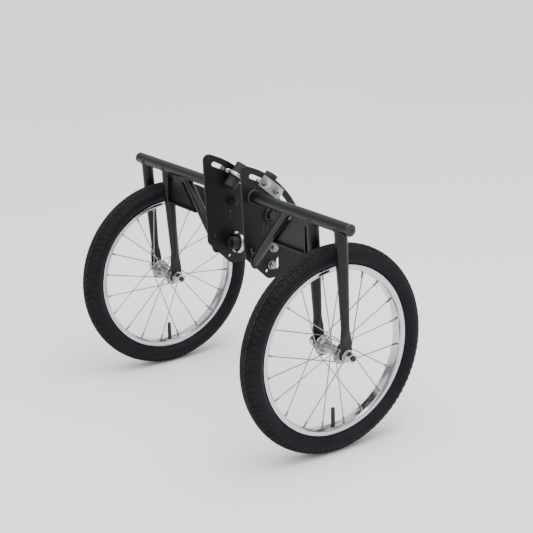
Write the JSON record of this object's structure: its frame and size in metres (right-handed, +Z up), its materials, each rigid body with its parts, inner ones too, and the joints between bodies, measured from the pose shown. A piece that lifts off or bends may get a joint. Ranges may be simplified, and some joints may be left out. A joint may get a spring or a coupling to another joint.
{
  "type": "bicycle training wheels",
  "caption": "Pair of outrigger training wheels for an adult bicycle: black steel brackets that clamp to the frame stays, braced arms with forked legs, and spoked pneumatic wheels.",
  "frame": {"origin": "on the ground midway between the two wheels, under their axle line", "axes": "+X to the rider's right along the axles, +Y forward, +Z up"},
  "size_m": [0.7092, 0.39, 0.4921],
  "materials": {
    "black_paint": "satin black powder coat",
    "plug_plastic": "moulded black plastic",
    "zinc_plate": "bright zinc plate",
    "zinc_bolt": "zinc-plated steel",
    "black_oxide": "black finished steel",
    "dark_axle": "oiled dark steel thread",
    "hardened_steel": "ground hardened steel",
    "tyre_rubber": "matt black rubber",
    "chromed_rim": "chrome-plated steel",
    "spoke_steel": "bright drawn wire",
    "nipple_plate": "nickel-plated brass",
    "hub_steel": "polished zinc-plated steel",
    "tube_rubber": "soft black rubber",
    "sleeve_rubber": "firm black rubber"
  },
  "bodies": {
    "frame": {"right_bracket_plate": "black_paint", "right_arm": "black_paint", "right_arm_plug": "plug_plastic", "right_brace": "black_paint", "right_gusset": "black_paint", "right_inner_leg": "black_paint", "right_outer_leg": "black_paint", "right_low_saddle": "sleeve_rubber", "right_low_bolts": "zinc_bolt", "right_low_nuts": "zinc_bolt", "right_steady_bolt": "black_oxide", "right_steady_nut": "zinc_bolt", "right_axle": "dark_axle", "right_cones": "hardened_steel", "right_locknuts": "zinc_bolt", "right_axle_washers": "zinc_bolt", "right_axle_nuts": "zinc_bolt", "left_bracket_plate": "black_paint", "left_arm": "black_paint", "left_arm_plug": "plug_plastic", "left_brace": "black_paint", "left_gusset": "black_paint", "left_inner_leg": "black_paint", "left_outer_leg": "black_paint", "left_low_saddle": "sleeve_rubber", "left_low_bolts": "zinc_bolt", "left_low_nuts": "zinc_bolt", "left_steady_bolt": "black_oxide", "left_steady_nut": "zinc_bolt", "left_axle": "dark_axle", "left_cones": "hardened_steel", "left_locknuts": "zinc_bolt", "left_axle_washers": "zinc_bolt", "left_axle_nuts": "zinc_bolt"},
    "right_wheel": {"right_tyre": "tyre_rubber", "right_rim": "chromed_rim", "right_spokes": "spoke_steel", "right_nipples": "nipple_plate", "right_hub_shell": "hub_steel", "right_bearing_balls": "hardened_steel", "right_dust_caps": "nipple_plate", "right_inner_tube": "tube_rubber", "right_valve_cap": "plug_plastic"},
    "right_stay_clamp": {"right_clamp_plate": "zinc_plate", "right_clamp_saddle": "sleeve_rubber", "right_clamp_bolts": "zinc_bolt", "right_clamp_nuts": "zinc_bolt"},
    "left_wheel": {"left_tyre": "tyre_rubber", "left_rim": "chromed_rim", "left_spokes": "spoke_steel", "left_nipples": "nipple_plate", "left_hub_shell": "hub_steel", "left_bearing_balls": "hardened_steel", "left_dust_caps": "nipple_plate", "left_inner_tube": "tube_rubber", "left_valve_cap": "plug_plastic"},
    "left_stay_clamp": {"left_clamp_plate": "zinc_plate", "left_clamp_saddle": "sleeve_rubber", "left_clamp_bolts": "zinc_bolt", "left_clamp_nuts": "zinc_bolt"}
  },
  "joints": [
    {"name": "right_wheel_spin", "type": "hinge", "parent": "frame", "child": "right_wheel", "pos_m": [0.285, 0, 0.195], "axis": [1, 0, 0], "continuous": true},
    {"name": "right_clamp_slide", "type": "hinge", "parent": "frame", "child": "right_stay_clamp", "pos_m": [0.0615, -0.09, 0.304], "axis": [1, 0, 0], "range_deg": [-15, 10.4]},
    {"name": "left_wheel_spin", "type": "hinge", "parent": "frame", "child": "left_wheel", "pos_m": [-0.285, 0, 0.195], "axis": [1, 0, 0], "continuous": true},
    {"name": "left_clamp_slide", "type": "hinge", "parent": "frame", "child": "left_stay_clamp", "pos_m": [-0.0615, -0.09, 0.304], "axis": [1, 0, 0], "range_deg": [-15, 10.4]}
  ]
}
